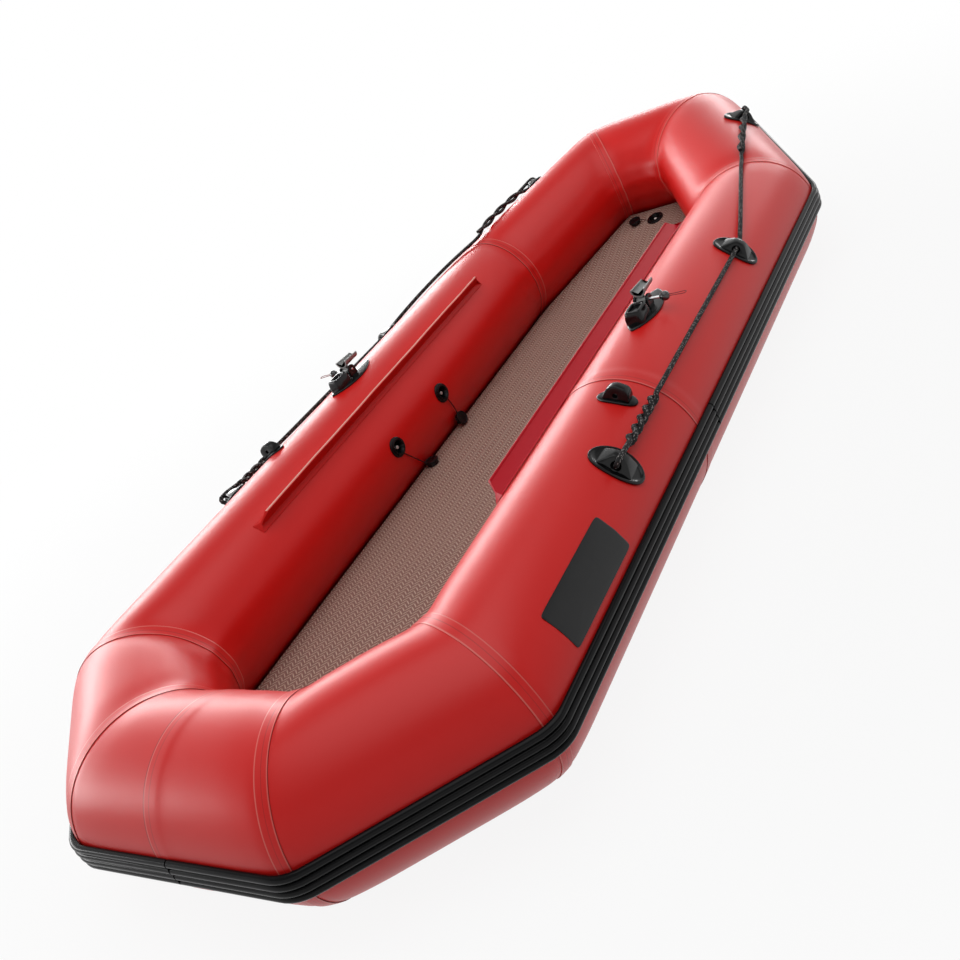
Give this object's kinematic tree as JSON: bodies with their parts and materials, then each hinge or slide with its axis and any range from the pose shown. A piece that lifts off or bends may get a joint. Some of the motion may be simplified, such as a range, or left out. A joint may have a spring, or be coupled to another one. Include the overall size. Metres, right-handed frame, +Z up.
{
  "type": "inflatable boat",
  "caption": "Inflatable fishing boat: mitred air tubes around an inflated deck, with oarlocks, grab lines, rub strake and valves.",
  "frame": {"origin": "On the ground under the middle of the boat, at the bottom centre of its box.", "axes": "+Y runs along the boat to the raised bow, +X to its right-hand side, +Z up."},
  "size_m": [1.1298, 2.5848, 0.3903],
  "materials": {
    "tube_red": "satin coated fabric, broad soft highlights",
    "tape_red": "coated tape, slightly duller than the tubes",
    "strip_red": "coated fabric strip with a pale worn edge",
    "bulkhead_red": "coated fabric, uncoated side out of sight",
    "deck_weave": "woven anti-slip face",
    "bottom_black": "matt coated fabric",
    "strake_black": "semi-gloss extruded rubber",
    "fitting_black": "glossy moulded rubber",
    "rope_black": "braided rope with pale flecks",
    "saddle_grey": "smooth moulded plastic",
    "pin_steel": "polished rod",
    "knob_black": "glossy ball",
    "loop_cord": "thin twisted cord",
    "valve_black": "moulded plastic",
    "spring_steel": "bright wire",
    "patch_black": "plain glossy patch"
  },
  "bodies": {
    "hull": {"air_deck": "deck_weave", "bottom_fabric": "bottom_black", "bow_tube_left": "tube_red", "bow_tube_middle": "tube_red", "bow_tube_right": "tube_red", "deck_valve_body": "valve_black", "deck_valve_spring": "spring_steel", "eye_block_left": "fitting_black", "eye_block_right": "fitting_black", "front_valve_body": "valve_black", "front_valve_spring": "spring_steel", "grab_line_left": "rope_black", "grab_line_right": "rope_black", "left_bulkhead": "bulkhead_red", "left_side_tube": "tube_red", "oarlock_base_left": "fitting_black", "oarlock_base_right": "fitting_black", "rear_valve_body": "valve_black", "rear_valve_spring": "spring_steel", "right_bulkhead": "bulkhead_red", "right_side_tube_front": "tube_red", "right_side_tube_rear": "tube_red", "rope_holder_left_bow": "fitting_black", "rope_holder_left_middle": "fitting_black", "rope_holder_left_rear": "fitting_black", "rope_holder_right_bow": "fitting_black", "rope_holder_right_middle": "fitting_black", "rope_holder_right_rear": "fitting_black", "rub_strake_bow_and_left": "strake_black", "rub_strake_right": "strake_black", "seam_tape_bow_left_front": "tape_red", "seam_tape_bow_left_rear": "tape_red", "seam_tape_bow_right_front": "tape_red", "seam_tape_bow_right_rear": "tape_red", "seam_tape_stern_left": "tape_red", "seam_tape_stern_left_inner": "tape_red", "seam_tape_stern_right": "tape_red", "seam_tape_stern_right_inner": "tape_red", "seat_strip_left": "strip_red", "seat_strip_right": "strip_red", "stern_tube_left": "tube_red", "stern_tube_middle_left": "tube_red", "stern_tube_middle_right": "tube_red", "stern_tube_right": "tube_red", "tube_patch": "patch_black"},
    "right_pin": {"oarlock_pin_right": "pin_steel", "oarlock_knob_right": "knob_black", "knob_pull_loop_right": "loop_cord"},
    "left_pin": {"oarlock_pin_left": "pin_steel", "oarlock_knob_left": "knob_black", "knob_pull_loop_left": "loop_cord"},
    "right_saddle": {"oar_saddle_right": "saddle_grey"},
    "left_saddle": {"oar_saddle_left": "saddle_grey"},
    "rear_plunger": {"rear_valve_plunger": "valve_black"},
    "front_plunger": {"front_valve_plunger": "valve_black"},
    "deck_plunger": {"deck_valve_plunger": "valve_black"},
    "rear_cap": {"rear_valve_cap": "valve_black"},
    "front_cap": {"front_valve_cap": "valve_black"},
    "deck_cap": {"deck_valve_cap": "valve_black"}
  },
  "joints": [
    {"name": "right_pin_pull", "type": "slide", "parent": "hull", "child": "right_pin", "axis": [0.9994, 0, -0.0349], "range_m": [0, 0.03]},
    {"name": "left_pin_pull", "type": "slide", "parent": "hull", "child": "left_pin", "axis": [-0.9994, 0, -0.0349], "range_m": [0, 0.03]},
    {"name": "right_saddle_tilt", "type": "hinge", "parent": "hull", "child": "right_saddle", "pos_m": [0.41097, -0.0405, 0.32105], "axis": [0.9994, 0, -0.0349], "range_deg": [0, 45]},
    {"name": "left_saddle_tilt", "type": "hinge", "parent": "hull", "child": "left_saddle", "pos_m": [-0.41097, -0.0405, 0.32105], "axis": [0.9994, 0, 0.0349], "range_deg": [0, 45]},
    {"name": "rear_press", "type": "slide", "parent": "hull", "child": "rear_plunger", "axis": [-0.9962, 0, -0.0872], "range_m": [0, 0.0045], "stiffness_N_per_m": 250, "springref_m": -0.004, "deforming": ["rear_valve_spring"]},
    {"name": "front_press", "type": "slide", "parent": "hull", "child": "front_plunger", "axis": [-0.9962, 0, -0.0872], "range_m": [0, 0.0045], "stiffness_N_per_m": 250, "springref_m": -0.004, "deforming": ["front_valve_spring"]},
    {"name": "deck_press", "type": "slide", "parent": "hull", "child": "deck_plunger", "axis": [0, 0.2451, -0.9695], "range_m": [0, 0.0045], "stiffness_N_per_m": 250, "springref_m": -0.004, "deforming": ["deck_valve_spring"]},
    {"name": "rear_cap_swing", "type": "hinge", "parent": "hull", "child": "rear_cap", "pos_m": [-0.254, -0.17344, 0.13836], "axis": [0.7071, -0.7071, 0], "range_deg": [0, 60]},
    {"name": "front_cap_swing", "type": "hinge", "parent": "hull", "child": "front_cap", "pos_m": [-0.254, 0.05656, 0.13836], "axis": [0.7071, -0.7071, 0], "range_deg": [0, 60]},
    {"name": "deck_cap_swing", "type": "hinge", "parent": "hull", "child": "deck_cap", "pos_m": [-0.0145, 0.96027, 0.12733], "axis": [0, 0.9695, 0.2451], "range_deg": [0, 100]}
  ]
}
